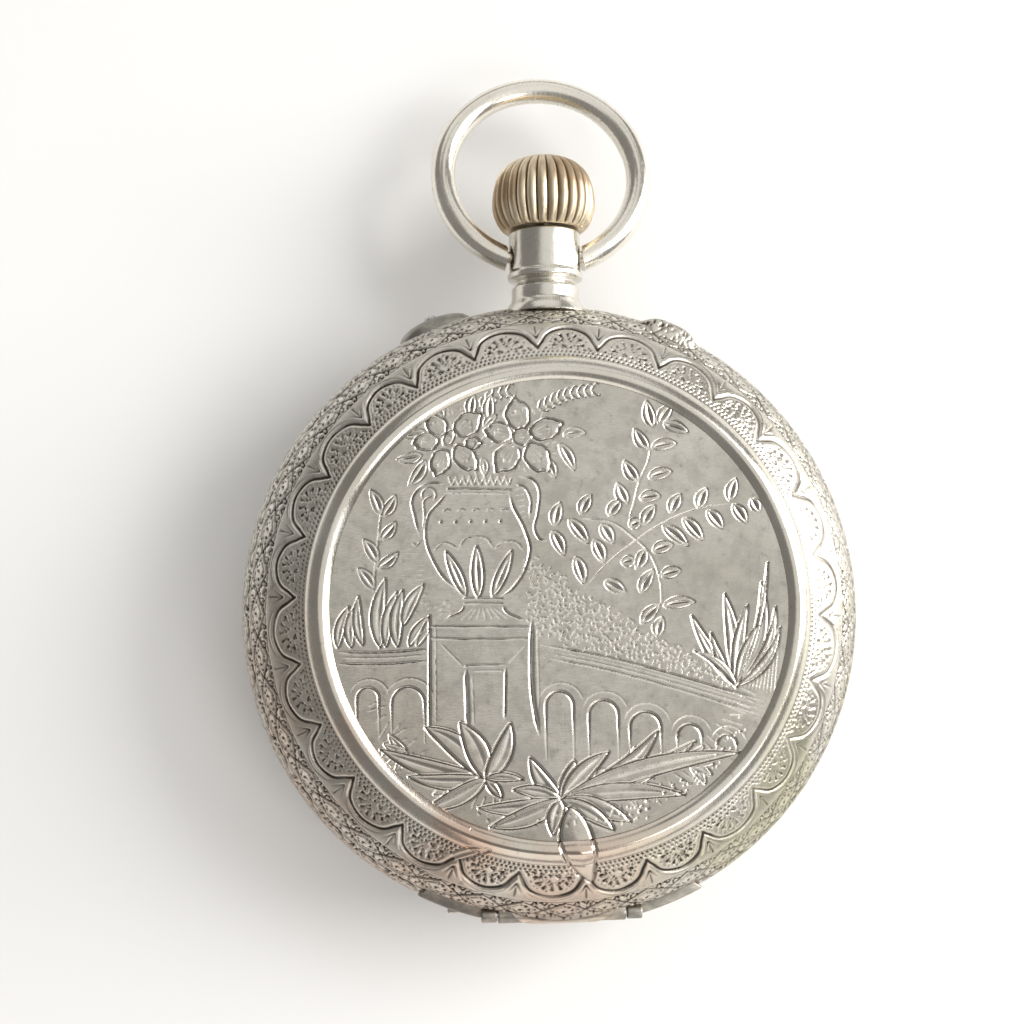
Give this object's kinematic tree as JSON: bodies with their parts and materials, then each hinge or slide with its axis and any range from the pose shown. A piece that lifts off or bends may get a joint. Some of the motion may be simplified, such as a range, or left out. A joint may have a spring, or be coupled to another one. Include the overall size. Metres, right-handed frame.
{
  "type": "open-face fob watch",
  "caption": "Small silver keyless fob watch with an engraved hinged back, fluted winding crown, round bow, side setting pin and cylinder movement.",
  "frame": {"origin": "centre of the crystal's flat outer face, on the case's axis; the watch lies on this face", "axes": "+Z through the case from the crystal to the engraved back, +Y along the winding stem to the crown"},
  "size_m": [0.034, 0.048, 0.0114],
  "materials": {
    "silver": "polished worn sterling silver",
    "gilt": "worn gilding over silver",
    "glass": "clear bevelled crystal",
    "enamel": "glossy white vitreous enamel",
    "brass": "satin gilded brass",
    "nickel": "brushed nickel silver",
    "steel": "polished steel",
    "blue_steel": "polished steel, blued by heat",
    "ruby": "polished red jewel"
  },
  "bodies": {
    "case": {"case_band": "silver", "pendant": "silver", "pin_guard": "silver", "rear_hinge_pin": "steel", "front_hinge_pin": "steel", "mainplate": "brass", "barrel_bridge": "nickel", "centre_cock": "nickel", "third_wheel_cock": "nickel", "fourth_wheel_cock": "nickel", "escape_wheel_cock": "nickel", "balance_cock": "nickel", "click_spring": "steel", "hairspring_stud": "steel", "balance_endstone": "ruby", "bridge_screw_1": "blue_steel", "bridge_screw_2": "blue_steel", "bridge_screw_3": "blue_steel", "centre_cock_screw": "blue_steel", "third_cock_screw": "blue_steel", "fourth_cock_screw": "blue_steel", "escape_cock_screw": "blue_steel", "balance_cock_screw": "blue_steel", "crown_wheel_screw": "steel", "click_screw": "blue_steel", "case_screw_1": "blue_steel", "case_screw_2": "blue_steel", "dial": "enamel"},
    "back_cover": {"back_cover": "silver"},
    "dust_cover": {"dust_cover": "silver"},
    "bezel": {"bezel": "silver", "crystal": "glass"},
    "bow": {"bow": "silver"},
    "winding_stem": {"crown": "gilt", "winding_stem": "steel", "winding_pinion": "steel", "sliding_pinion": "steel"},
    "crown_wheel": {"crown_wheel": "steel"},
    "ratchet": {"ratchet_wheel": "steel", "ratchet_screw": "steel", "barrel_arbor": "steel"},
    "click": {"click": "steel"},
    "setting_pin": {"setting_pin": "steel"},
    "setting_lever": {"setting_lever": "steel"},
    "barrel": {"barrel_drum": "brass", "barrel_lid": "brass", "mainspring": "blue_steel"},
    "centre_wheel": {"centre_wheel": "brass"},
    "third_wheel": {"third_wheel": "brass"},
    "fourth_wheel": {"fourth_wheel": "brass"},
    "escape_wheel": {"escape_wheel": "steel"},
    "balance": {"balance_wheel": "brass", "hairspring": "blue_steel"},
    "regulator": {"regulator": "steel"},
    "minute_hand": {"cannon_pinion": "steel", "minute_hand": "blue_steel"},
    "minute_wheel": {"minute_wheel": "brass"},
    "hour_hand": {"hour_wheel": "brass", "hour_hand": "blue_steel"},
    "setting_wheel": {"setting_wheel": "steel"}
  },
  "joints": [
    {"name": "back_cover_hinge", "type": "hinge", "parent": "case", "child": "back_cover", "pos_m": [0, -0.01625, 0.00805], "axis": [1, 0, 0], "range_deg": [0, 100]},
    {"name": "dust_cover_hinge", "type": "hinge", "parent": "case", "child": "dust_cover", "pos_m": [0, -0.01625, 0.00805], "axis": [1, 0, 0], "range_deg": [0, 80]},
    {"name": "bezel_hinge", "type": "hinge", "parent": "case", "child": "bezel", "pos_m": [0, -0.01615, 0.0034], "axis": [-1, 0, 0], "range_deg": [0, 90]},
    {"name": "bow_swing", "type": "hinge", "parent": "case", "child": "bow", "pos_m": [0, 0.01985, 0.0062], "axis": [1, 0, 0], "range_deg": [-107, 133]},
    {"name": "crown_turn", "type": "hinge", "parent": "case", "child": "winding_stem", "pos_m": [0, 0.02, 0.0062], "axis": [0, 1, 0], "continuous": true},
    {"name": "crown_wheel_turn", "type": "hinge", "parent": "case", "child": "crown_wheel", "pos_m": [0, 0.00968, 0.00775], "axis": [0, 0, 1], "continuous": true},
    {"name": "ratchet_turn", "type": "hinge", "parent": "case", "child": "ratchet", "pos_m": [-0.0036, 0.00539, 0.00775], "axis": [0, 0, 1], "continuous": true},
    {"name": "click_lift", "type": "hinge", "parent": "case", "child": "click", "pos_m": [-0.0086, 0.00585, 0.0077], "axis": [0, 0, 1], "range_deg": [0, 12], "stiffness_Nm_per_rad": 0.00001, "springref_deg": -5.73, "deforming": ["click_spring"]},
    {"name": "setting_pin_push", "type": "slide", "parent": "case", "child": "setting_pin", "axis": [0.3681, -0.9298, 0], "range_m": [0, 0.0006], "stiffness_N_per_m": 100},
    {"name": "setting_lever_swing", "type": "hinge", "parent": "case", "child": "setting_lever", "pos_m": [-0.0034, 0.0119, 0.0055], "axis": [0, 0, 1], "range_deg": [0, 28]},
    {"name": "centre_wheel_turn", "type": "hinge", "parent": "case", "child": "centre_wheel", "pos_m": [0, 0, 0.0065], "axis": [0, 0, 1], "continuous": true},
    {"name": "barrel_turn", "type": "hinge", "parent": "case", "child": "barrel", "pos_m": [-0.0036, 0.00539, 0.0055], "axis": [0, 0, 1], "continuous": true, "deforming": ["mainspring"]},
    {"name": "third_wheel_turn", "type": "hinge", "parent": "case", "child": "third_wheel", "pos_m": [0.00448, -0.00128, 0.006], "axis": [0, 0, 1], "continuous": true},
    {"name": "fourth_wheel_turn", "type": "hinge", "parent": "case", "child": "fourth_wheel", "pos_m": [0.00552, -0.00518, 0.006], "axis": [0, 0, 1], "continuous": true},
    {"name": "escape_wheel_turn", "type": "hinge", "parent": "case", "child": "escape_wheel", "pos_m": [0.00216, -0.00654, 0.006], "axis": [0, 0, 1], "continuous": true},
    {"name": "minute_hand_turn", "type": "hinge", "parent": "case", "child": "minute_hand", "pos_m": [0, 0, 0.003], "axis": [0, 0, 1], "continuous": true},
    {"name": "minute_wheel_turn", "type": "hinge", "parent": "case", "child": "minute_wheel", "pos_m": [0.00072, 0.0027, 0.0041], "axis": [0, 0, 1], "continuous": true},
    {"name": "setting_wheel_turn", "type": "hinge", "parent": "case", "child": "setting_wheel", "pos_m": [0, 0.00797, 0.0043], "axis": [0, 0, 1], "continuous": true},
    {"name": "hour_hand_turn", "type": "hinge", "parent": "case", "child": "hour_hand", "pos_m": [0, 0, 0.0035], "axis": [0, 0, 1], "continuous": true},
    {"name": "balance_swing", "type": "hinge", "parent": "case", "child": "balance", "pos_m": [-0.00036, -0.00745, 0.0072], "axis": [0, 0, 1], "range_deg": [-135, 135], "stiffness_Nm_per_rad": 0.00000027, "deforming": ["hairspring"]},
    {"name": "regulator_swing", "type": "hinge", "parent": "case", "child": "regulator", "pos_m": [-0.00036, -0.00745, 0.0086], "axis": [0, 0, 1], "range_deg": [-20, 20]}
  ],
  "couplings": [
    {"joint": "dust_cover_hinge", "follows": "back_cover_hinge", "ratio": 0.8},
    {"joint": "crown_wheel_turn", "follows": "crown_turn", "ratio": -0.56667},
    {"joint": "ratchet_turn", "follows": "crown_turn", "ratio": 0.425},
    {"joint": "setting_lever_swing", "follows": "setting_pin_push", "rad_per_m": 800},
    {"joint": "barrel_turn", "follows": "centre_wheel_turn", "ratio": -0.125},
    {"joint": "third_wheel_turn", "follows": "centre_wheel_turn", "ratio": -7.5},
    {"joint": "fourth_wheel_turn", "follows": "centre_wheel_turn", "ratio": 60},
    {"joint": "escape_wheel_turn", "follows": "centre_wheel_turn", "ratio": -600},
    {"joint": "minute_hand_turn", "follows": "centre_wheel_turn", "ratio": 1},
    {"joint": "minute_wheel_turn", "follows": "centre_wheel_turn", "ratio": -0.33333},
    {"joint": "setting_wheel_turn", "follows": "centre_wheel_turn", "ratio": 0.21739},
    {"joint": "hour_hand_turn", "follows": "centre_wheel_turn", "ratio": 0.083333}
  ]
}
